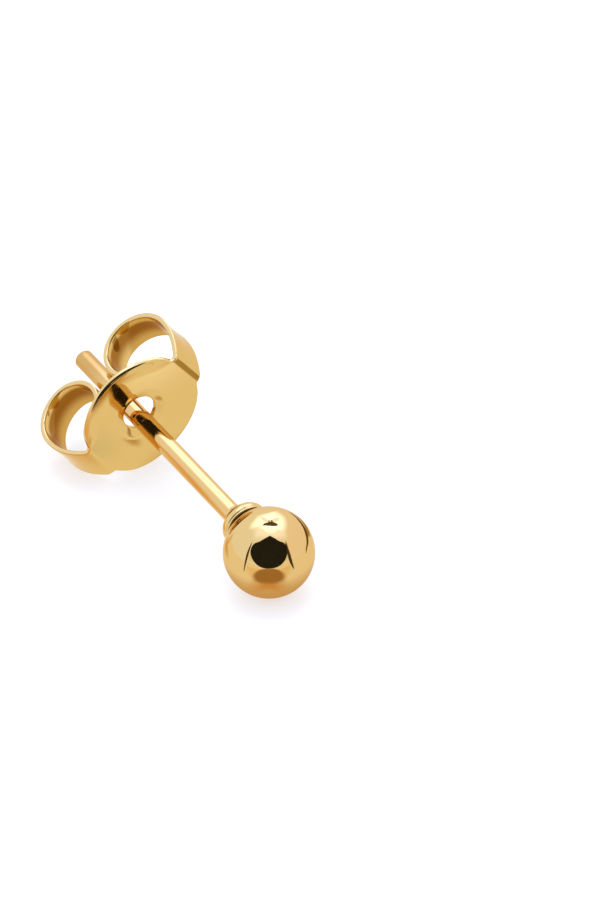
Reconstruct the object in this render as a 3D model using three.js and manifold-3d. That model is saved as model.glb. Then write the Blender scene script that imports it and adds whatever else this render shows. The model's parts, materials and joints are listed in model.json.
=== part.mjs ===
// Ball stud earring with its butterfly back, lying on a flat surface.
// Millimetres, +Z up. The post runs along +Y, from the ball to its free tip. The stud lies
// rolled over on its ball, the rim of the plate and the corner of one loop.
import * as THREE from 'three';
import { mergeVertices } from 'three/addons/utils/BufferGeometryUtils.js';
import Module from 'manifold-3d';

const wasm = await Module();
wasm.setup();

const degrees = Math.PI / 180;

// Ball, cup and post
const ballRadius = 3.0 / 2;
const cupSeamRadius = 0.71;
const cupLipRadius = 0.80;
const cupLipStart = 1.37;
const cupLipEnd = 1.62;
const cupTop = 2.08;
const postRadius = 0.66 / 2;
const postTip = 11.92;
const postTipRounding = 0.05;
const roundSides = 40;
const ballRings = 20;

// Butterfly back: one stamped sheet, with a round plate and two rolled straps
const sheet = 0.17;
const plateRadius = 2.15;
const plateFront = 8.23;
const plateBendRadius = 11.0;
const rimFacetsToRest = 7;
const holeRadius = 0.60;
const funnelRadius = 0.88;
const funnelDepth = 0.12;
const gripClearance = 0.03;
const strapRootHalfWidth = 0.84;
const strapTaper = 0.041;

// The bends of one strap, in the order that the press makes them: the radius and turn of
// the middle of the sheet, and the number of facets. The plate itself bows towards the ball.
const plateBend = { radius: plateBendRadius, turn: -10.4 * degrees };
const strapBends = [
  { name: 'fold', radius: 0.26, turn: 65.4 * degrees, facets: 6 },
  { name: 'side', radius: 2.67, turn: 34.7 * degrees, facets: 5 },
  { name: 'outer shoulder', radius: 1.26, turn: 94.3 * degrees, facets: 12 },
];
const endCurl = { name: 'end curl', radius: 0.75, turn: 40 * degrees, facets: 5 };

// One bend carries the sheet on from a station: x is across the plate, y is along the post.
function bendFrom(start, bend, share) {
  const heading = start.heading + bend.turn * share;
  const side = Math.sign(bend.turn) * bend.radius;
  return {
    x: start.x + side * (Math.sin(heading) - Math.sin(start.heading)),
    y: start.y - side * (Math.cos(heading) - Math.cos(start.heading)),
    heading,
    run: start.run + bend.radius * Math.abs(bend.turn) * share,
  };
}

// The half width of the flat blank: the round plate, then a strap that narrows to its end.
function halfWidth(run) {
  const plate = Math.sqrt(Math.max(0, plateRadius ** 2 - run ** 2));
  const strap = strapRootHalfWidth - strapTaper * run;
  return Math.max(plate, strap);
}

// Stations from the middle of the plate out to the end of one strap. The rim's facets are
// all rimStep wide, and one of them is centred on the middle of the plate.
function strapStations(rimStep) {
  const middle = { x: 0, y: plateFront + sheet / 2, heading: 0, run: 0 };
  const plateRun = plateBend.radius * Math.abs(plateBend.turn);
  const rimAngle = Math.asin(plateRun / plateRadius);
  const stations = [];
  for (let angle = rimStep / 2; angle < rimAngle - rimStep / 4; angle += rimStep) {
    const run = plateRadius * Math.sin(angle);
    stations.push(bendFrom(middle, plateBend, run / plateRun));
  }
  stations.push(bendFrom(middle, plateBend, 1));
  const addBend = (bend) => {
    const start = stations.at(-1);
    for (let i = 1; i <= bend.facets; i += 1) {
      stations.push(bendFrom(start, bend, i / bend.facets));
    }
  };
  strapBends.forEach(addBend);

  // The inner shoulder brings the strap back until it runs along the post, just clear of it.
  const last = stations.at(-1);
  const gripX = postRadius + gripClearance + sheet / 2;
  const innerShoulder = {
    name: 'inner shoulder',
    radius: (last.x - gripX) / (1 + Math.sin(last.heading)),
    turn: 270 * degrees - last.heading,
    facets: 11,
  };
  addBend(innerShoulder);
  addBend(endCurl);
  return stations;
}

// The sheet's four corners at a station, mirrored to the other strap where side is -1.
function corners(station, side) {
  const w = halfWidth(station.run);
  const nx = side * Math.sin(station.heading) * sheet / 2;
  const ny = -Math.cos(station.heading) * sheet / 2;
  const x = side * station.x;
  return [
    [x + nx, station.y + ny, w],
    [x + nx, station.y + ny, -w],
    [x - nx, station.y - ny, -w],
    [x - nx, station.y - ny, w],
  ];
}

// Which way is up in the stud's own axes when it is rolled over and its post leans.
function upwards(roll, lean) {
  return [Math.sin(roll) * Math.cos(lean), Math.sin(lean), Math.cos(roll) * Math.cos(lean)];
}

function lowest(points, up) {
  return Math.min(...points.map(([x, y, z]) => x * up[0] + y * up[1] + z * up[2]));
}

// Halves a range until it finds where a condition that holds at its low end stops holding.
function lastWhere(holds, low, high) {
  const middle = (low + high) / 2;
  if (high - low < 1e-9) {
    return middle;
  }
  return holds(middle) ? lastWhere(holds, middle, high) : lastWhere(holds, low, middle);
}

// The ball touches the surface, and the post leans until the plate's rim touches it too.
// Then the stud rolls over until the corner of one loop comes down onto it.
function restingPose() {
  const stations = strapStations(1 * degrees);
  const plateRun = plateBend.radius * Math.abs(plateBend.turn);
  const cornersOf = (part) => part.map((station) => corners(station, -1)).flat();
  const rim = cornersOf(stations.filter(({ run }) => run <= plateRun));
  const loop = cornersOf(stations.filter(({ run }) => run > plateRun));
  const leanAt = (roll) => {
    const rimIsSunk = (lean) => lowest(rim, upwards(roll, lean)) < -ballRadius;
    return lastWhere(rimIsSunk, 0, 10 * degrees);
  };
  const loopIsClear = (roll) => lowest(loop, upwards(roll, leanAt(roll))) > -ballRadius;
  const roll = lastWhere(loopIsClear, 0, 60 * degrees);
  return { roll, lean: leanAt(roll) };
}

function bentSheetGeometry(rimStep) {
  const half = strapStations(rimStep);
  const sections = [
    ...half.toReversed().map((station) => corners(station, -1)),
    ...half.map((station) => corners(station, 1)),
  ];
  const index = [];
  for (let s = 0; s + 1 < sections.length; s += 1) {
    for (let c = 0; c < 4; c += 1) {
      const a = 4 * s + c;
      const b = 4 * s + (c + 1) % 4;
      index.push(a, b, b + 4, a, b + 4, a + 4);
    }
  }
  const end = 4 * (sections.length - 1);
  index.push(0, 3, 2, 0, 2, 1);
  index.push(end, end + 1, end + 2, end, end + 2, end + 3);
  const geometry = new THREE.BufferGeometry();
  geometry.setAttribute('position', new THREE.Float32BufferAttribute(sections.flat(2), 3));
  geometry.setIndex(index);
  return geometry;
}

// A body of revolution about the post's line, from points of radius and distance along it.
function turned(profile) {
  const points = profile.map(([radius, along]) => new THREE.Vector2(radius, along));
  return new THREE.LatheGeometry(points, roundSides);
}

function toSolid(geometry) {
  const bare = geometry.clone();
  bare.deleteAttribute('normal');
  bare.deleteAttribute('uv');
  const merged = mergeVertices(bare, 1e-5);
  return new wasm.Manifold(new wasm.Mesh({
    numProp: 3,
    vertProperties: new Float32Array(merged.attributes.position.array),
    triVerts: new Uint32Array(merged.index.array),
  }));
}

function toGeometry(solid) {
  const mesh = solid.getMesh();
  const geometry = new THREE.BufferGeometry();
  geometry.setAttribute('position', new THREE.BufferAttribute(mesh.vertProperties, 3));
  geometry.setIndex(new THREE.BufferAttribute(mesh.triVerts, 1));
  geometry.computeVertexNormals();
  return geometry;
}

// Ball, cup and post are soldered together, so one profile turns the whole stud.
function studGeometry() {
  const profile = [];
  const seamAngle = Math.PI - Math.asin(cupSeamRadius / ballRadius);
  for (let i = 0; i <= ballRings; i += 1) {
    const angle = seamAngle * i / ballRings;
    profile.push([ballRadius * Math.sin(angle), -ballRadius * Math.cos(angle)]);
  }
  profile[0][0] = 0;

  // The cup's lip stands clear of the ball, and its back domes over to the post.
  profile.push([cupLipRadius - 0.03, cupLipStart]);
  profile.push([cupLipRadius, cupLipStart + 0.08]);
  profile.push([cupLipRadius, cupLipEnd]);
  const domeSteps = 6;
  for (let i = 1; i <= domeSteps; i += 1) {
    const angle = 90 * degrees * i / domeSteps;
    const across = cupLipRadius - postRadius;
    const height = cupTop - cupLipEnd;
    profile.push([postRadius + across * Math.cos(angle), cupLipEnd + height * Math.sin(angle)]);
  }
  profile.push([postRadius, postTip - postTipRounding]);
  profile.push([postRadius - postTipRounding, postTip]);
  profile.push([0, postTip]);
  return turned(profile);
}

// The hole's edge is pressed into a shallow funnel that guides the post's tip.
function butterflyGeometry(rimStep) {
  const slope = (funnelRadius - holeRadius) / funnelDepth;
  const above = 0.1;
  const funnel = turned([
    [0, plateFront - above],
    [funnelRadius + slope * above, plateFront - above],
    [holeRadius, plateFront + funnelDepth],
    [holeRadius, plateFront + 3 * sheet],
    [0, plateFront + 3 * sheet],
  ]);
  const collarInner = holeRadius - 0.1;
  const collarOuter = funnelRadius + sheet;
  const collar = turned([
    [collarInner, plateFront + 0.3 * sheet],
    [collarOuter - 0.05, plateFront + 0.3 * sheet],
    [collarOuter, plateFront + 0.7 * sheet],
    [holeRadius, plateFront + funnelDepth + sheet],
    [collarInner, plateFront + funnelDepth + sheet],
    [collarInner, plateFront + 0.3 * sheet],
  ]);
  const pressed = toSolid(bentSheetGeometry(rimStep)).add(toSolid(collar));
  return toGeometry(pressed.subtract(toSolid(funnel)));
}

const goldStud = new THREE.MeshStandardMaterial({
  color: 0xdcb469,
  roughness: 0.08,
  metalness: 1.0,
});
const goldSheet = new THREE.MeshStandardMaterial({
  color: 0xd9b66c,
  roughness: 0.14,
  metalness: 1.0,
});

const stud = new THREE.Mesh(studGeometry(), goldStud);
stud.name = 'ball_stud';

// The rim's facets are spaced so that the stud rests on the middle of one of them.
const rest = restingPose();
const back = new THREE.Mesh(butterflyGeometry(rest.roll / rimFacetsToRest), goldSheet);
back.name = 'butterfly_back';

const earring = new THREE.Group();
earring.add(stud, back);
earring.rotation.set(rest.lean, -rest.roll, 0);
earring.updateMatrixWorld(true);

// The origin is under the middle of the earring, on the surface that it lies on.
const extent = new THREE.Box3().setFromObject(earring, true);
const centre = extent.getCenter(new THREE.Vector3());
earring.position.set(-centre.x, -centre.y, -extent.min.z);

export default earring;
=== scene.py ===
import json
import math

import bmesh
import bpy
from mathutils import Matrix, Vector

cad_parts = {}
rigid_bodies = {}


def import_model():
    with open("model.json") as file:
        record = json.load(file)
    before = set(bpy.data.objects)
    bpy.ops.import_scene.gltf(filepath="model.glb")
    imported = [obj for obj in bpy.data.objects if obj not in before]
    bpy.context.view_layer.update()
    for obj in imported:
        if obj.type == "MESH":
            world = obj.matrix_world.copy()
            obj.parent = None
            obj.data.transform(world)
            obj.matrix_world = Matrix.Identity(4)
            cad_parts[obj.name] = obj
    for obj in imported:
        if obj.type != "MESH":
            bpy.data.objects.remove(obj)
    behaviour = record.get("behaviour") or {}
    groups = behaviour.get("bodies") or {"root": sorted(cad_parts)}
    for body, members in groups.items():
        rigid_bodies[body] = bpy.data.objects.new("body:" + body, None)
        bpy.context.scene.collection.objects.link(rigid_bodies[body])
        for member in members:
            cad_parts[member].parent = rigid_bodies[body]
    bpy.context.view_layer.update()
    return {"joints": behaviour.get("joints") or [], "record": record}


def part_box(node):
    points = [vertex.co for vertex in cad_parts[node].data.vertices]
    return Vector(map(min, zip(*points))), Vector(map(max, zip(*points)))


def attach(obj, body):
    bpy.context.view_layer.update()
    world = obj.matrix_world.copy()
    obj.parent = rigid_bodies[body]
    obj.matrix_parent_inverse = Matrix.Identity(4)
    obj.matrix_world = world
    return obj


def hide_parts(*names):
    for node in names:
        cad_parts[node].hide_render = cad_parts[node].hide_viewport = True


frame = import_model()

# ------------------------------------------------------------------------------------------
# The stud's own axes
# Every piece is drawn in millimetres as it is made: x across the back's straps, y along the
# post from the middle of the ball to its tip, and z square to both. The joint's axis and the
# mounts say where that lies on the table.
# ------------------------------------------------------------------------------------------
millimetre = 0.001
slide = frame["joints"][0]
stud_body = slide["parent"]
back_body = slide["child"]
mount_at = {mount["name"]: Vector(mount["pos_m"]) for mount in frame["record"]["mounts"]}

along_post = Vector(slide["axis"]).normalized()
post_tip = mount_at["post_tip"]
plate_middle = post_tip + along_post * (mount_at["plate_front"] - post_tip).dot(along_post)
square_up = (mount_at["plate_front"] - plate_middle).normalized()
across = along_post.cross(square_up)

ball_corner_low, ball_corner_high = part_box("ball_stud")
ball_radius = round((ball_corner_high.x - ball_corner_low.x) / millimetre / 2, 2)
ball_middle = post_tip + along_post * ((ball_radius * millimetre - post_tip.z) / along_post.z)
post_length = (post_tip - ball_middle).length / millimetre
plate_front = (plate_middle - ball_middle).length / millimetre

table_from_stud = Matrix((across, along_post, square_up)).transposed().to_4x4()
table_from_stud = Matrix.Translation(ball_middle) @ table_from_stud @ Matrix.Scale(millimetre, 4)

# ------------------------------------------------------------------------------------------
# Ball
# A solid ball of gold-plated brass, 3 mm across, tumbled and buffed to a mirror. It is
# soldered into the cup, and the buff leaves fine swirls and a faintly uneven skin.
# ------------------------------------------------------------------------------------------
ball_sides = 192
ball_rings = 112
ball_seat_radius = 0.60
gold = (0.800, 0.560, 0.215, 1)
warm_gold = (0.790, 0.535, 0.190, 1)


def lay_down(name, mesh):
    """An object of a mesh drawn in the stud's axes, laid on the table."""
    bmesh.ops.recalc_face_normals(mesh, faces=mesh.faces)
    data = bpy.data.meshes.new(name)
    mesh.to_mesh(data)
    mesh.free()
    data.transform(table_from_stud)
    for face in data.polygons:
        face.use_smooth = True
    piece = bpy.data.objects.new(name, data)
    bpy.context.scene.collection.objects.link(piece)
    return piece


def turned(name, profile, sides):
    """A piece turned about the post's line, from points of radius and distance along it."""
    mesh = bmesh.new()
    grain = mesh.verts.layers.float_vector.new("grain")
    rings = []
    for radius, along in profile:
        ring = []
        for side in range(sides if radius else 1):
            angle = 2 * math.pi * side / sides
            vertex = mesh.verts.new((radius * math.sin(angle), along, radius * math.cos(angle)))
            vertex[grain] = vertex.co
            ring.append(vertex)
        rings.append(ring)
    for lower, upper in zip(rings, rings[1:]):
        for side in range(sides):
            after = (side + 1) % sides
            places = ((lower, side), (lower, after), (upper, after), (upper, side))
            corners = [ring[place % len(ring)] for ring, place in places]
            mesh.faces.new(dict.fromkeys(corners))
    return lay_down(name, mesh)


def start_metal(name):
    """A bare metal material, with the nodes that every finish here starts from."""
    material = bpy.data.materials.new(name)
    material.use_nodes = True
    nodes = material.node_tree.nodes
    nodes["Principled BSDF"].inputs["Metallic"].default_value = 1
    nodes["Principled BSDF"].inputs["Specular Tint"].default_value = (0.94, 0.82, 0.66, 1)
    nodes.new("ShaderNodeAttribute").attribute_name = "grain"
    return material


def noise(material, per_mm, detail=2.0, stretch=(1, 1, 1)):
    """A noise with so many features in a millimetre of the piece, stretched along its axes."""
    nodes = material.node_tree.nodes
    links = material.node_tree.links
    mapping = nodes.new("ShaderNodeMapping")
    mapping.inputs["Scale"].default_value = stretch
    links.new(nodes["Attribute"].outputs["Vector"], mapping.inputs["Vector"])
    texture = nodes.new("ShaderNodeTexNoise")
    texture.inputs["Scale"].default_value = per_mm
    texture.inputs["Detail"].default_value = detail
    links.new(mapping.outputs["Vector"], texture.inputs["Vector"])
    return texture.outputs["Fac"]


def ramp(material, value, start, end, low=0.0, high=1.0, eased=False):
    """A number that goes from low to high as a value goes from start to end."""
    span = material.node_tree.nodes.new("ShaderNodeMapRange")
    span.interpolation_type = "SMOOTHSTEP" if eased else "LINEAR"
    span.inputs["From Min"].default_value = start
    span.inputs["From Max"].default_value = end
    span.inputs["To Min"].default_value = low
    span.inputs["To Max"].default_value = high
    material.node_tree.links.new(value, span.inputs["Value"])
    return span.outputs["Result"]


def spread(material, value, low, high):
    """A noise's usual middle values, spread from low to high."""
    return ramp(material, value, 0.3, 0.7, low, high)


def mix(material, share, one, other):
    """One colour turning into the other with a share. Each is a colour or a node's output."""
    blend = material.node_tree.nodes.new("ShaderNodeMix")
    blend.data_type = "RGBA"
    material.node_tree.links.new(share, blend.inputs[0])
    for socket, colour in ((blend.inputs[6], one), (blend.inputs[7], other)):
        if isinstance(colour, tuple):
            socket.default_value = colour
        else:
            material.node_tree.links.new(colour, socket)
    return blend.outputs[2]


def relief(material, height, depth, over=None):
    """The surface raised by a height of so many millimetres, over another relief if any."""
    bump = material.node_tree.nodes.new("ShaderNodeBump")
    bump.inputs["Strength"].default_value = 1
    bump.inputs["Distance"].default_value = depth * millimetre
    material.node_tree.links.new(height, bump.inputs["Height"])
    if over:
        material.node_tree.links.new(over, bump.inputs["Normal"])
    return bump.outputs["Normal"]


def finish_metal(material, colour, roughness, normal):
    """Joins a finish's colour, roughness and relief to its shader."""
    shader = material.node_tree.nodes["Principled BSDF"]
    material.node_tree.links.new(colour, shader.inputs["Base Color"])
    material.node_tree.links.new(roughness, shader.inputs["Roughness"])
    material.node_tree.links.new(normal, shader.inputs["Normal"])
    return material


buffed = start_metal("buffed_gold")
swirls = noise(buffed, 14, 4, (1, 4, 1))
skin = relief(buffed, noise(buffed, 1.5, 1), 0.0045)
polish = finish_metal(
    buffed,
    mix(buffed, noise(buffed, 0.7), gold, warm_gold),
    spread(buffed, swirls, 0.03, 0.06),
    relief(buffed, noise(buffed, 24, 3, (1, 3, 1)), 0.00010, skin),
)

seat_angle = math.pi - math.asin(ball_seat_radius / ball_radius)
ball_profile = [(0, -ball_radius)]
for ring in range(1, ball_rings + 1):
    angle = seat_angle * ring / ball_rings
    ball_profile.append((ball_radius * math.sin(angle), -ball_radius * math.cos(angle)))
ball_profile.append((0, ball_profile[-1][1]))
ball = turned("ball", ball_profile, ball_sides)
ball.data.materials.append(polish)
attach(ball, stud_body)
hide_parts("ball_stud")

# ------------------------------------------------------------------------------------------
# Cup
# A small stamped cup of the same plated brass that the ball sits in. Its beaded lip stands
# just clear of the ball, which leaves a dark line, and its back domes over to the post.
# That dark line is painted shade: the cup's face next to the ball is painted near black.
# ------------------------------------------------------------------------------------------
cup_sides = 160
cup_off_centre = 0.07
# Painted shade in the gap between the cup's lip and the ball, and where along the post it fades out.
painted_gap_shade = (0.045, 0.022, 0.006, 1)
gap_shade_end = 1.372
gap_shade_clear = 1.395
cup_rows = [
    # radius, distance along the post
    (0.620, 1.340),
    (0.700, 1.358),
    (0.762, 1.370),
    (0.797, 1.392),
    (0.806, 1.425),
    (0.801, 1.455),
    (0.786, 1.472),
    (0.784, 1.482),
    (0.797, 1.496),
    (0.804, 1.525),
    (0.803, 1.590),
    (0.788, 1.670),
    (0.752, 1.750),
    (0.696, 1.825),
    (0.626, 1.890),
    (0.546, 1.948),
    (0.466, 1.996),
    (0.404, 2.040),
    (0.362, 2.095),
    (0.338, 2.160),
    (0.325, 2.230),
]


def curve_through(rows, between):
    """A smooth curve through rows of numbers, with so many points from each row to the next."""
    points = []
    for i in range(len(rows) - 1):
        near = rows[max(i - 1, 0)], rows[i], rows[i + 1], rows[min(i + 2, len(rows) - 1)]
        for step in range(between):
            t = step / between
            point = []
            for a, b, c, d in zip(*near):
                bend = (2 * a - 5 * b + 4 * c - d) * t ** 2 + (3 * b - a - 3 * c + d) * t ** 3
                point.append(b + ((c - a) * t + bend) / 2)
            points.append(tuple(point))
    return points + [rows[-1]]


cup_profile = [(0, cup_rows[0][1])] + curve_through(cup_rows, 4) + [(0, cup_rows[-1][1])]
cup = turned("cup", cup_profile, cup_sides)
aside = table_from_stud.to_3x3() @ Vector((cup_off_centre, 0, 0))
cup.data.transform(Matrix.Translation(aside))


def place_on(material):
    """Where each point lies on its piece, as X, Y and Z outputs in the stud's own axes."""
    place = material.node_tree.nodes.new("ShaderNodeSeparateXYZ")
    grain = material.node_tree.nodes["Attribute"].outputs["Vector"]
    material.node_tree.links.new(grain, place.inputs["Vector"])
    return place.outputs


cup_metal = start_metal("cup_gold")
cup_gold = mix(cup_metal, noise(cup_metal, 3, 3), gold, warm_gold)
# Painted shade: near black on the cup's face next to the ball, fading out towards the lip.
past_gap_shade = ramp(cup_metal, place_on(cup_metal)["Y"], gap_shade_end, gap_shade_clear)
stamped = relief(cup_metal, noise(cup_metal, 5, 2), 0.004)
finish_metal(
    cup_metal,
    mix(cup_metal, past_gap_shade, painted_gap_shade, cup_gold),
    spread(cup_metal, noise(cup_metal, 12, 3), 0.04, 0.09),
    stamped,
)
cup.data.materials.append(cup_metal)
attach(cup, stud_body)
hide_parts("ball_stud")

# ------------------------------------------------------------------------------------------
# Post
# A straight length of drawn wire, 0.66 mm thick, soldered into the cup and plated with it.
# Its end is cut square with the edge broken, and the die leaves fine lines along it.
# ------------------------------------------------------------------------------------------
post_radius = 0.33
post_sides = 96
post_root = 1.95
post_rings = 60
post_edge = 0.055
post_edge_rings = 6
wire_gold = (0.805, 0.535, 0.205, 1)
warm_wire_gold = (0.795, 0.510, 0.180, 1)
# Painted shade: the wire is painted a deeper gold towards its tip.
tip_shade_gold = (0.66, 0.39, 0.12, 1)
tip_shade_start = plate_front + 1.3
tip_shade_end = post_length - 0.6
handled_roughness = 0.12


def combine(material, operation, one, other=None):
    """One or two numbers put through a sum, such as ADD or MULTIPLY."""
    maths = material.node_tree.nodes.new("ShaderNodeMath")
    maths.operation = operation
    material.node_tree.links.new(one, maths.inputs[0])
    if other:
        material.node_tree.links.new(other, maths.inputs[1])
    return maths.outputs["Value"]


drawn = start_metal("drawn_gold")
die_lines = noise(drawn, 20, 3, (1, 0.04, 1))
straightness = relief(drawn, noise(drawn, 1.1, 1, (1, 0.5, 1)), 0.003)
along_wire = place_on(drawn)["Y"]
duller = ramp(drawn, along_wire, plate_front, post_length, 0, handled_roughness)
# Where the painted shade towards the tip sets in and is full.
towards_tip_shade = ramp(drawn, along_wire, tip_shade_start, tip_shade_end, eased=True)
new_wire = mix(drawn, noise(drawn, 0.7), wire_gold, warm_wire_gold)
drawn_wire = finish_metal(
    drawn,
    mix(drawn, towards_tip_shade, new_wire, tip_shade_gold),
    combine(drawn, "ADD", duller, spread(drawn, die_lines, 0.04, 0.09)),
    relief(drawn, die_lines, 0.0004, straightness),
)

post_profile = [(0, post_root)]
straight = post_length - post_edge - post_root
for ring in range(post_rings + 1):
    post_profile.append((post_radius, post_root + straight * ring / post_rings))
for ring in range(1, post_edge_rings + 1):
    angle = math.radians(90) * ring / post_edge_rings
    radius = post_radius - post_edge * (1 - math.cos(angle))
    post_profile.append((radius, post_length - post_edge * (1 - math.sin(angle))))
post_profile.append(((post_radius - post_edge) * 0.6, post_length))
post_profile.append((0, post_length))
post = turned("post", post_profile, post_sides)
post.data.materials.append(drawn_wire)
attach(post, stud_body)
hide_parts("ball_stud")

# ------------------------------------------------------------------------------------------
# Butterfly back
# One flat blank of 0.17 mm sheet, a round plate with a strap on each side. A press dishes
# the hole, bows the plate towards the ball, folds the straps and rolls them into loops whose
# ends grip the post. The sheared edges are tumbled round before the piece is plated.
# ------------------------------------------------------------------------------------------
sheet = 0.17
edge_round = 0.045
rim_roll = (0.10, 0.07)
strap_roll = (0.045, 0.045)
hole_roll = (0.05, 0.05)
plate_radius = 2.16
plate_shift = 0.11
hole_radius = 0.60
funnel_radius = 0.97
funnel_depth = 0.13
funnel_curve = 1.15
bent_rim_start = 1.50
bent_rim_end = 2.3
bent_rim_low = 0.75
bent_rim_high = 1.35
bent_rim_drop = 0.13
bent_rim_trim = 0.10
resting_bulge = 0.065
strap_half_width = 0.848
strap_taper = 0.032
strap_crown = 0.055
crown_start = 2.3
crown_full = 3.6
crown_fall = 1.2
notch_radius = 0.12
strap_corner = 0.16
grip_gap = 0.03

# The bends of each strap in the order that the press makes them. The first bows the plate.
# The hole and the plate sit a little to the right, so the two sides aren't quite alike.
right_bends = [
    # radius of the middle of the sheet, turn in degrees
    (16.3, -7.0),
    (0.26, 66.0),
    (2.90, 31.0),
    (1.27, 94.0),
]
left_bends = [
    (11.0, -10.4),
    (0.26, 61.4),
    (2.50, 38.7),
    (1.27, 94.3),
]
end_curl = (0.75, 40)


def bend_from(x, y, heading, radius, turn):
    """Carries the middle of the sheet on through one bend."""
    side = math.copysign(radius, turn)
    x += side * (math.sin(heading + turn) - math.sin(heading))
    y -= side * (math.cos(heading + turn) - math.cos(heading))
    return x, y, heading + turn


def strap_path(shift, bends):
    """A strap's bends as (run at its start, where it starts, radius, turn), and its length."""
    at = (shift, plate_front + sheet / 2, 0)
    run = 0
    path = []

    def add(radius, turn):
        nonlocal at, run
        path.append((run, at, radius, turn))
        at = bend_from(*at, radius, turn)
        run += radius * abs(turn)

    for radius, turn in bends:
        add(radius, math.radians(turn))
    grip = post_radius + grip_gap + sheet / 2
    add((at[0] - grip) / (1 + math.sin(at[2])), math.radians(270) - at[2])
    add(end_curl[0], math.radians(end_curl[1]))
    return path, run


paths = {1: strap_path(plate_shift, right_bends), -1: strap_path(-plate_shift, left_bends)}


def smooth_step(value, low, high):
    """How far a value has come from low to high, eased at both ends."""
    share = min(max((value - low) / (high - low), 0), 1)
    return share * share * (3 - 2 * share)


def pressed(run, width, depth):
    """Where a point of the flat blank ends up. Depth goes back from the middle of the sheet."""
    side = -1 if run < 0 else 1
    path, strap_end = paths[side]
    bend_run, start, radius, turn = [bend for bend in path if bend[0] <= abs(run)][-1]
    x, y, heading = bend_from(*start, radius, math.copysign((abs(run) - bend_run) / radius, turn))
    from_hole = math.hypot(run, width)
    if from_hole < funnel_radius:
        depth += funnel_depth * ((funnel_radius - from_hole) / (funnel_radius - hole_radius)) ** funnel_curve
    if width > 0 and abs(run) < bent_rim_end:
        bent = max(from_hole - bent_rim_start, 0) / (plate_radius - bent_rim_start)
        depth += bent_rim_drop * bent ** 2 * smooth_step(width, bent_rim_low, bent_rim_high)
    crown = smooth_step(abs(run), crown_start, crown_full)
    crown *= 1 - smooth_step(abs(run), strap_end - crown_fall, strap_end)
    depth -= strap_crown * crown * (width / strap_half_width) ** 2
    x -= depth * math.sin(heading)
    return Vector((side * x, y + depth * math.cos(heading), width))


def strap_half(run):
    """A strap's half width at a run along the blank."""
    return strap_half_width - strap_taper * run


# The round plate and a strap meet in a small rounded notch, centred here.
notch_height = strap_half_width - strap_taper * 2 + notch_radius
notch_reach = math.sqrt((plate_radius + notch_radius) ** 2 - notch_height ** 2)
notch_angle = math.atan2(notch_height, notch_reach)

# Every grid below is drawn on the flat blank, inside the rounding of its edges.
strap_lanes = 28
notch_steps = 5
corner_steps = 6
front_edge_steps = 7
back_edge_steps = 4
rim_ease_steps = 20
rim_steps = 104
plate_rings = 40


def plate_outline(top):
    """From the right strap's root round the plate to the left strap's root, as stations of
    (point inside the edge's rounding, outward, rounding)."""
    stations = []
    for step in range(notch_steps + 1):
        angle = math.radians(270) + (notch_angle - math.radians(90)) * step / notch_steps
        out = -Vector((math.cos(angle), math.sin(angle)))
        inset = notch_radius + strap_roll[0]
        stations.append((Vector((notch_reach, notch_height)) - inset * out, out, strap_roll))
    rim_angle = math.pi - 2 * notch_angle
    for step in range(1, rim_steps):
        angle = notch_angle + rim_angle * step / rim_steps
        out = Vector((math.cos(angle), math.sin(angle)))
        share = smooth_step(min(step, rim_steps - step), 0, rim_ease_steps)
        roll = tuple(a + (b - a) * share for a, b in zip(strap_roll, rim_roll))
        if top:
            trim = bent_rim_trim * smooth_step(out.y, 0.45, 1)
        else:
            trim = -resting_bulge * smooth_step(angle, notch_angle, 0.9) * smooth_step(angle, 1.7, 1.2)
        stations.append(((plate_radius - roll[0] - trim) * out, out, roll))
    for point, out, roll in stations[notch_steps::-1]:
        stations.append((Vector((-point.x, point.y)), Vector((-out.x, out.y)), roll))
    return stations


class Blank:
    """The sheet's two faces and its rounded edges, drawn flat and pressed into shape."""

    def __init__(self):
        self.mesh = bmesh.new()
        self.grain = self.mesh.verts.layers.float_vector.new("grain")
        self.cut = self.mesh.verts.layers.float.new("cut_edge")

    def point(self, flat, depth, cut=0.0):
        vertex = self.mesh.verts.new(pressed(flat.x, flat.y, depth))
        vertex[self.grain] = (flat.x, depth, flat.y)
        vertex[self.cut] = cut
        return vertex

    def both_faces(self, flat):
        return self.point(flat, -sheet / 2), self.point(flat, sheet / 2)

    def grid(self, rows, closed=False):
        """Joins rows of (front, back) pairs of points, on both faces."""
        for row, after in zip(rows, rows[1:]):
            count = len(row)
            for i in range(count if closed else count - 1):
                j = (i + 1) % count
                for face in (0, 1):
                    self.mesh.faces.new((row[i][face], row[j][face], after[j][face], after[i][face]))

    def edge(self, stations):
        """Rounds the edge along closed stations of (flat point, outward, rounding, pair). The
        front is rolled over more, where the die drew it in, and the back is only broken."""
        # Where the two roundings meet on the back's own edge point, it isn't made twice.
        least_roll = min(roll for flat, out, (roll, roll_depth), pair in stations)
        last_step = 0 if least_roll > edge_round else 1
        columns = []
        for flat, out, (roll, roll_depth), (front, back) in stations:
            column = [front]
            for step in range(1, front_edge_steps + 1):
                angle = math.radians(90) * step / front_edge_steps
                depth = roll_depth * (1 - math.cos(angle)) - sheet / 2
                spot = flat + out * roll * math.sin(angle)
                column.append(self.point(spot, depth, math.sin(angle) ** 6))
            for step in range(back_edge_steps, last_step - 1, -1):
                angle = math.radians(90) * step / back_edge_steps
                reach = roll - edge_round * (1 - math.sin(angle))
                depth = sheet / 2 - edge_round * (1 - math.cos(angle))
                column.append(self.point(flat + out * reach, depth, math.sin(angle)))
            columns.append(column + [back])
        for column, after in zip(columns, columns[1:] + columns[:1]):
            for i in range(len(column) - 1):
                self.mesh.faces.new((column[i], column[i + 1], after[i + 1], after[i]))


blank = Blank()

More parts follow.
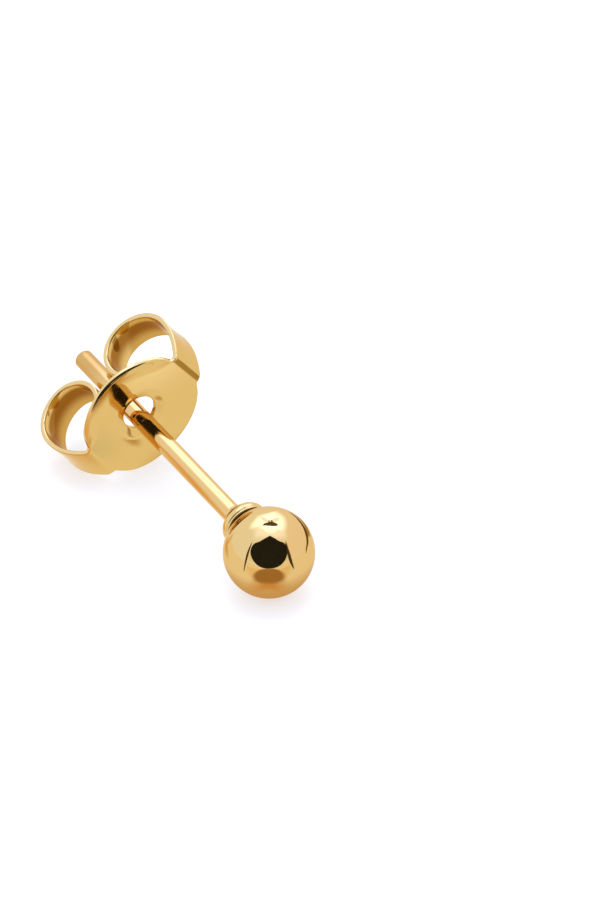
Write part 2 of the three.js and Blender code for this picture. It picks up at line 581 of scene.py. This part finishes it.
# The plate: rings from the hole out to the outline, which crosses each strap at its root.
top = plate_outline(True)
bottom = [(-flat, -out, roll) for flat, out, roll in plate_outline(False)]
root_half = top[0][0].y
root_lanes = [root_half * (2 * lane / strap_lanes - 1) for lane in range(strap_lanes + 1)]
right_root = [Vector((notch_reach, width)) for width in root_lanes]
left_root = [Vector((-notch_reach, -width)) for width in root_lanes]
right_root[-1] = top[0][0]
left_root[0] = top[-1][0]
left_root[-1] = bottom[0][0]
right_root[0] = bottom[-1][0]
around = right_root + [station[0] for station in top[1:-1]]
around += left_root + [station[0] for station in bottom[1:-1]]
hole_edge = hole_radius + hole_roll[0]
plate_rows = []
for ring in range(plate_rings + 1):
    share = ring / plate_rings
    share = share * (1.3 - 0.3 * share)
    row = [flat.normalized() * hole_edge * (1 - share) + flat * share for flat in around]
    plate_rows.append([blank.both_faces(flat) for flat in row])
blank.grid(plate_rows, closed=True)
hole_stations = []
for flat, pair in zip(around, plate_rows[0]):
    hole_stations.append((flat.normalized() * hole_edge, -flat.normalized(), hole_roll, pair))
blank.edge(hole_stations)

# The straps: rows across, which start on the plate's own points.
rim_pairs = {tuple(flat): pair for flat, pair in zip(around, plate_rows[-1])}


def strap(side, root):
    """Makes one strap, and returns the stations of its outline beyond the root."""
    path, strap_end = paths[side]
    roll = strap_roll[0]
    places = []
    run = notch_reach
    corner_start = strap_end - strap_corner
    while run < corner_start:
        run = min(run + (0.02 if run < path[2][0] + 0.1 else 0.04), corner_start)
        places.append((run, strap_half(run) - roll, Vector((0, 1))))
    for step in range(1, corner_steps + 1):
        angle = math.radians(90) * step / corner_steps
        run = corner_start + (strap_corner - roll) * math.sin(angle)
        half = strap_half(strap_end) - strap_corner + (strap_corner - roll) * math.cos(angle)
        places.append((run, half, Vector((math.sin(angle), math.cos(angle)))))
    rows = [[rim_pairs[tuple(flat)] for flat in root]]
    upper = []
    lower = []
    for run, half, out in places:
        heights = [half * (2 * lane / strap_lanes - 1) for lane in range(strap_lanes + 1)]
        flats = [Vector((side * run, side * height)) for height in heights]
        rows.append([blank.both_faces(flat) for flat in flats])
        upper.append((flats[-1], Vector((side * out.x, side * out.y)), strap_roll, rows[-1][-1]))
        lower.append((flats[0], Vector((side * out.x, -side * out.y)), strap_roll, rows[-1][0]))
    blank.grid(rows)
    end = [(flat, Vector((side, 0)), strap_roll, pair) for flat, pair in zip(flats, rows[-1])]
    return lower + end[1:-1] + upper[::-1]


outline = []
for side, root, arc in ((1, right_root, top), (-1, left_root, bottom)):
    outline += strap(side, root)
    outline += [(flat, out, roll, rim_pairs[tuple(flat)]) for flat, out, roll in arc]
blank.edge(outline)

rolled = start_metal("rolled_gold")
sheet_gold = (0.760, 0.528, 0.180, 1)
deep_gold = (0.740, 0.500, 0.155, 1)
# A paler gold on the rounded edges: a painted highlight where the edges catch the light.
edge_highlight_gold = (0.800, 0.570, 0.235, 1)
cut_edge = rolled.node_tree.nodes.new("ShaderNodeAttribute")
cut_edge.attribute_name = "cut_edge"
rolling_lines = noise(rolled, 16, 3, (0.06, 1, 1))
waves = relief(rolled, noise(rolled, 0.9, 1), 0.004)
# A dark brown band painted inside the back of each loop: painted shade and a painted dark reflection.
loop_shade = (0.36, 0.15, 0.02, 1)
# Where the painted shade inside the loops sets in and is full: along the blank, through the sheet, and
# across it.
loop_shade_run = (3.0, 3.7)
loop_shade_face = (0.02, 0.08)
loop_shade_low = (-0.50, 0.12)
loop_shade_high = (0.52, 0.36)
place = place_on(rolled)
along_strap = combine(rolled, "ABSOLUTE", place["X"])
inside_loop = ramp(rolled, along_strap, *loop_shade_run, eased=True)
behind = ramp(rolled, place["Y"], *loop_shade_face, eased=True)
above = ramp(rolled, place["Z"], *loop_shade_low, eased=True)
below = ramp(rolled, place["Z"], *loop_shade_high, eased=True)
rear_of_loop = combine(rolled, "MULTIPLY", inside_loop, behind)
middle_band = combine(rolled, "MULTIPLY", above, below)
loop_shade_share = combine(rolled, "MULTIPLY", rear_of_loop, middle_band)
bright_sheet = mix(rolled, noise(rolled, 0.6), sheet_gold, deep_gold)
# The sheet turns to the painted loop shade inside the back of each loop.
loop_shaded_sheet = mix(rolled, loop_shade_share, bright_sheet, loop_shade)
rolled_sheet = finish_metal(
    rolled,
    # The rounded edges take the paler gold of the painted highlight.
    mix(rolled, cut_edge.outputs["Fac"], loop_shaded_sheet, edge_highlight_gold),
    spread(rolled, noise(rolled, 5, 3), 0.045, 0.10),
    relief(rolled, rolling_lines, 0.00025, waves),
)
butterfly = lay_down("butterfly", blank.mesh)
butterfly.data.materials.append(rolled_sheet)
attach(butterfly, back_body)
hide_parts("butterfly_back")

# ------------------------------------------------------------------------------------------
# Table
# A wide plain pale table top with a matt skin, lit a little from below as light tables are.
# The gold doesn't mirror it: cards that lie on it, in the next section, stand in for it.
# ------------------------------------------------------------------------------------------
table_radius = 1.2
table_shade = (0.50, 0.50, 0.497, 1)
table_shade_dim = (0.48, 0.48, 0.478, 1)
table_glow = 0.56
table_mesh = bmesh.new()
bmesh.ops.create_circle(table_mesh, cap_ends=True, radius=table_radius, segments=96)
table_data = bpy.data.meshes.new("table_top")
table_mesh.to_mesh(table_data)
table_mesh.free()
table = bpy.data.objects.new("table_top", table_data)
bpy.context.scene.collection.objects.link(table)
matt = bpy.data.materials.new("matt_table")
matt.use_nodes = True
matt_shader = matt.node_tree.nodes["Principled BSDF"]
matt_shader.inputs["Roughness"].default_value = 0.9
matt_shader.inputs["Specular IOR Level"].default_value = 0.1
matt_shader.inputs["Emission Color"].default_value = (1, 1, 0.995, 1)
matt_shader.inputs["Emission Strength"].default_value = table_glow
table_place = matt.node_tree.nodes.new("ShaderNodeTexCoord")
table_cloud = matt.node_tree.nodes.new("ShaderNodeTexNoise")
table_cloud.inputs["Scale"].default_value = 30
matt.node_tree.links.new(table_place.outputs["Object"], table_cloud.inputs["Vector"])
matt.node_tree.links.new(mix(matt, table_cloud.outputs["Fac"], table_shade, table_shade_dim),
                         matt_shader.inputs["Base Color"])
table_data.materials.append(matt)
table.visible_glossy = False

# ------------------------------------------------------------------------------------------
# Light
# A white tent all round with a soft lamp above. Cards that only the gold sees give it its
# bright and dark shapes: a softbox overhead, the dark front of the room, and the table.
# ------------------------------------------------------------------------------------------
view_azimuth = -31.19
view_elevation = 34.58
view_roll = 1.25
ball_in_view = Vector((-1.001, -3.308, -184.97)) * millimetre


def facing(azimuth, elevation, roll=0):
    """A turn whose local +Z points from the earring out along this direction."""
    turn = Matrix.Rotation(math.radians(azimuth), 3, "Z")
    turn @= Matrix.Rotation(math.radians(90 - elevation), 3, "X")
    return turn @ Matrix.Rotation(math.radians(roll), 3, "Z")


camera_turn = facing(view_azimuth, view_elevation, -view_roll)
camera_at = ball_middle - camera_turn @ ball_in_view

tent = bpy.data.worlds.new("tent")
bpy.context.scene.world = tent
tent.use_nodes = True
tent_nodes = tent.node_tree.nodes
tent_links = tent.node_tree.links
tent_place = tent_nodes.new("ShaderNodeTexCoord")
tent_side = tent_nodes.new("ShaderNodeVectorMath")
tent_side.operation = "DOT_PRODUCT"
tent_side.inputs[1].default_value = facing(view_azimuth, view_elevation) @ Vector((1, 0, 0))
tent_links.new(tent_place.outputs["Generated"], tent_side.inputs[0])
tent_share = tent_nodes.new("ShaderNodeMapRange")
tent_share.inputs["From Min"].default_value = -0.2
tent_share.inputs["From Max"].default_value = 0.9
tent_links.new(tent_side.outputs["Value"], tent_share.inputs["Value"])
tent_mix = tent_nodes.new("ShaderNodeMix")
tent_mix.data_type = "RGBA"
tent_mix.inputs[6].default_value = (1.00, 1.07, 1.32, 1)
tent_mix.inputs[7].default_value = (1.02, 0.98, 1.08, 1)
tent_links.new(tent_share.outputs["Result"], tent_mix.inputs[0])
tent_links.new(tent_mix.outputs[2], tent_nodes["Background"].inputs["Color"])

lamp = bpy.data.lights.new("soft_lamp", "SUN")
lamp.energy = 0.8
lamp.angle = math.radians(50)
lamp_object = bpy.data.objects.new("soft_lamp", lamp)
lamp_object.rotation_euler = facing(view_azimuth + 180, 68).to_euler()
lamp_object.visible_glossy = False
bpy.context.scene.collection.objects.link(lamp_object)


def mirrored(x, y, reach, lift):
    """What the ball shows the camera at x right and y up of its middle, in ball radii: the
    point so many millimetres off in that direction, or just over the table if that comes first."""
    facet = x * sight_right + y * sight_up + math.sqrt(1 - x * x - y * y) * sight
    start = ball_middle + facet * ball_radius * millimetre
    back = (camera_at - start).normalized()
    way = 2 * facet.dot(back) * facet - back
    distance = reach * millimetre
    if way.z < 0:
        distance = min(distance, (start.z - lift * millimetre) / -way.z)
    return start + way * distance


def stage_card(name, mesh, paint):
    """Puts up a card that the camera doesn't see, and that throws no shade or light."""
    data = bpy.data.meshes.new(name)
    mesh.to_mesh(data)
    mesh.free()
    data.materials.append(paint)
    thing = bpy.data.objects.new(name, data)
    bpy.context.scene.collection.objects.link(thing)
    thing.visible_camera = False
    thing.visible_diffuse = False
    thing.visible_shadow = False


def glowing(name, colour, fade=0.0):
    """A plain glowing or dark paint. With a fade it thins out to nothing at the card's rim."""
    paint = bpy.data.materials.new(name)
    paint.use_nodes = True
    nodes = paint.node_tree.nodes
    links = paint.node_tree.links
    nodes.remove(nodes["Principled BSDF"])
    glow = nodes.new("ShaderNodeEmission")
    glow.inputs["Color"].default_value = colour
    shown = glow.outputs["Emission"]
    if fade:
        inside = nodes.new("ShaderNodeAttribute")
        inside.attribute_name = "inside"
        clear = nodes.new("ShaderNodeBsdfTransparent")
        blend = nodes.new("ShaderNodeMixShader")
        links.new(ramp(paint, inside.outputs["Fac"], 0, fade, eased=True), blend.inputs["Fac"])
        links.new(clear.outputs["BSDF"], blend.inputs[1])
        links.new(shown, blend.inputs[2])
        shown = blend.outputs["Shader"]
    links.new(shown, nodes["Material Output"].inputs["Surface"])
    return paint


def card(name, rim, middle, colour, fade=0.0):
    """A flat card fanned out from its middle to its rim."""
    mesh = bmesh.new()
    inside = mesh.verts.layers.float.new("inside")
    hub = mesh.verts.new(middle)
    hub[inside] = 1
    rims = [mesh.verts.new(point) for point in rim]
    for one, after in zip(rims, rims[1:] + rims[:1]):
        mesh.faces.new((hub, one, after))
    stage_card(name, mesh, glowing(name, colour, fade))


def mirrored_card(name, corners, reach, colour, fade=0.0, lift=0.03):
    """A card laid out by where its corners show on the ball. Lift is its height over the table."""
    middle = [sum(values) / len(corners) for values in zip(*corners)]
    rounded = curve_through(corners + corners[:1], 4)[:-1]
    rim = [mirrored(x, y, reach, lift) for x, y in rounded]
    card(name, rim, mirrored(*middle, reach, lift), colour, fade)


def mirrored_strip(name, corners, half_width, reach, colour, lift=0.04):
    """A thin strip along corners on the ball, which narrows to its ends."""
    line = curve_through(corners, 5)
    mesh = bmesh.new()
    pairs = []
    for i, (x, y) in enumerate(line):
        ahead = Vector(line[min(i + 1, len(line) - 1)]) - Vector(line[max(i - 1, 0)])
        half = half_width * math.sin(math.pi * (i + 0.6) / len(line))
        off = Vector((-ahead.y, ahead.x)).normalized() * half
        sides = ((x + off.x, y + off.y), (x - off.x, y - off.y))
        pairs.append([mesh.verts.new(mirrored(*side, reach, lift)) for side in sides])
    for pair, after in zip(pairs, pairs[1:]):
        mesh.faces.new((*pair, *after[::-1]))
    stage_card(name, mesh, glowing(name, colour))


def oval(half_width, half_height, middle_height):
    """The outline of an oval on the ball, upright below its middle."""
    outline = []
    for step in range(0, 360, 20):
        angle = math.radians(step)
        outline.append((half_width * math.cos(angle), half_height * math.sin(angle) + middle_height))
    return outline


def floor_card(name, x, y, half_width, half_length, turn, lift, colour, fade):
    """An oval patch of shade on the table that only reflections show, in millimetres."""
    corners = []
    for step in range(48):
        angle = 2 * math.pi * step / 48
        spot = Vector((half_width * math.cos(angle), half_length * math.sin(angle), 0))
        corners.append(Matrix.Rotation(math.radians(turn), 3, "Z") @ spot)
    middle = Vector((x, y, lift)) * millimetre
    card(name, [middle + corner * millimetre for corner in corners], middle, colour, fade)


sight = (camera_at - ball_middle).normalized()
sight_right = camera_turn @ Vector((1, 0, 0))
sight_right = (sight_right - sight_right.dot(sight) * sight).normalized()
sight_up = sight.cross(sight_right)

# Where each card shows on the ball: x right and y up of its middle, in ball radii.
softbox_outline = [
    (-0.36, 0.235), (-0.385, 0.40), (-0.385, 0.58), (-0.36, 0.74), (-0.24, 0.83), (0.00, 0.86),
    (0.24, 0.845), (0.39, 0.77), (0.42, 0.60), (0.42, 0.40), (0.385, 0.225), (0.00, 0.23),
]
bar_outline = [
    (-0.15, 0.575), (-0.09, 0.625), (-0.02, 0.64), (0.00, 0.69), (0.03, 0.65), (0.06, 0.70),
    (0.09, 0.65), (0.16, 0.62), (0.19, 0.575), (0.10, 0.56), (0.00, 0.57),
]
dark_outline = [
    (0.02, 0.365), (0.12, 0.31), (0.22, 0.245), (0.33, 0.20), (0.385, 0.10), (0.39, -0.03),
    (0.355, -0.15), (0.28, -0.255), (0.16, -0.33), (0.00, -0.355), (-0.15, -0.335),
    (-0.27, -0.265), (-0.355, -0.16), (-0.405, -0.02), (-0.385, 0.10), (-0.32, 0.19),
    (-0.20, 0.24), (-0.09, 0.305),
]
warm_front_outline = [
    (-0.36, 0.18), (-0.45, 0.00), (-0.50, -0.16), (-0.35, -0.27), (0.00, -0.30), (0.35, -0.27),
    (0.50, -0.14), (0.40, 0.18), (0.00, 0.22),
]
warm_table_outline = [
    (-0.52, -0.27), (-0.545, -0.42), (-0.42, -0.60), (-0.20, -0.68), (0.20, -0.68), (0.42, -0.58),
    (0.55, -0.40), (0.50, -0.25), (0.30, -0.335), (0.00, -0.36), (-0.30, -0.335),
]
core_outline = [
    (-0.30, 0.52), (-0.36, 0.66), (-0.29, 0.77), (-0.12, 0.85), (0.14, 0.88), (0.34, 0.81),
    (0.42, 0.66), (0.39, 0.48), (0.20, 0.37), (-0.06, 0.38),
]
mirrored_card("softbox", softbox_outline, 60, (1.25, 1.42, 2.15, 1), 0.5)
mirrored_card("softbox_core", core_outline, 57, (1.90, 2.25, 3.70, 1), 0.6)
softbox_corner = [
    (-0.46, 0.46), (-0.44, 0.58), (-0.32, 0.72), (-0.15, 0.81), (0.05, 0.87), (0.24, 0.89), (0.28, 0.82),
    (0.10, 0.74), (-0.08, 0.64), (-0.22, 0.54), (-0.34, 0.46),
]
mirrored_card("softbox_corner", softbox_corner, 58.5, (1.75, 2.05, 3.20, 1), 0.6)
mirrored_card("softbox_bar", bar_outline, 50, (0.10, 0.08, 0.07, 1))
room_black = (0.018, 0.019, 0.022, 1)
mirrored_card("dark_front", dark_outline, 2.4, room_black, 0.04)
mirrored_card("dark_room", dark_outline, 100, room_black, 0.04)
mirrored_card("warm_front", warm_front_outline, 140, (0.95, 0.82, 0.62, 1), 0.5)
mirrored_card("warm_table", warm_table_outline, 30, (0.95, 0.80, 0.58, 1), 0.4)
# The orange and brown foot cards are painted shadow of the ball on the table, which only the gold shows.
mirrored_card("orange_foot", oval(0.56, 0.22, -0.70), 11, (0.72, 0.42, 0.18, 1), 0.9, 0.035)
mirrored_card("brown_foot", oval(0.42, 0.19, -0.525), 11, (0.42, 0.24, 0.10, 1), 0.35, 0.04)
arm_brown = (0.08, 0.055, 0.03, 1)
left_arm = [(-0.36, 0.22), (-0.44, 0.02), (-0.50, -0.20), (-0.54, -0.42)]
right_arm = [(0.35, 0.24), (0.41, 0.00), (0.47, -0.20), (0.535, -0.36)]
right_edge = [
    (0.42, 0.88), (0.60, 0.735), (0.74, 0.55), (0.81, 0.36), (0.825, 0.20), (0.80, 0.06),
    (0.80, -0.03),
]
mirrored_strip("left_arm", left_arm, 0.022, 4, arm_brown)
mirrored_strip("right_arm", right_arm, 0.034, 4, arm_brown)
mirrored_strip("far_right_edge", right_edge, 0.022, 4, (0.16, 0.08, 0.03, 1))
floor_card("table_mirrored", 0, 0, 1200, 1200, 0, 0.005, (1.00, 0.97, 0.98, 1), 0)
floor_card("ball_foot", 0, -5.2, 3.4, 3.4, 0, 0.02, (0.70, 0.50, 0.32, 1), 0.8)
floor_card("under_back", 1.6, 5.2, 4.4, 2.9, -20, 0.015, (0.80, 0.66, 0.46, 1), 0.4)
floor_card("bright_table", 2.3, -0.7, 2.0, 1.5, 0, 0.012, (1.16, 1.18, 1.40, 1), 1.0)
floor_card("dim_table", -0.1, 0.9, 0.9, 1.5, 0, 0.014, (0.86, 0.87, 0.88, 1), 1.0)
floor_card("left_of_post", -3.2, 1.4, 2.2, 4.2, 0, 0.03, (0.85, 0.58, 0.28, 1), 0.7)
floor_card("by_the_hole", 0.72, 1.75, 0.26, 0.55, 0, 0.035, (0.66, 0.48, 0.24, 1), 0.9)
floor_card("right_of_fold", 10.6, -1.3, 8.0, 2.5, 0, 0.02, (0.49, 0.36, 0.16, 1), 0.35)


def wall_card(name, start, end, height, colour, fade):
    """An upright oval card that stands on the table, between two places in millimetres."""
    middle = (Vector(start) + Vector(end)) / 2
    reach = (Vector(end) - Vector(start)) / 2
    corners = []
    for step in range(32):
        angle = 2 * math.pi * step / 32
        spot = middle + reach * math.cos(angle)
        corners.append(Vector((spot.x, spot.y, height * math.sin(angle))) * millimetre)
    card(name, corners, Vector((middle.x, middle.y, 0)) * millimetre, colour, fade)


wall_card("left_wall", (-1.2, -2.9), (-8.5, 11.6), 4.5, (0.90, 0.58, 0.26, 1), 0.7)

# ------------------------------------------------------------------------------------------
# Camera
# A long lens on a stand, near the earring and well above the table. It looks down from the
# ball's side and is rolled a little.
# ------------------------------------------------------------------------------------------
lens_length = 229
film_width = 36
camera_data = bpy.data.cameras.new("camera")
camera_data.lens = lens_length
camera_data.sensor_width = film_width
camera_data.clip_start = 1 * millimetre
camera_data.clip_end = 10
camera = bpy.data.objects.new("camera", camera_data)
camera.matrix_world = Matrix.Translation(camera_at) @ camera_turn.to_4x4()
bpy.context.scene.collection.objects.link(camera)
bpy.context.scene.camera = camera
bpy.context.scene.view_settings.view_transform = "Standard"
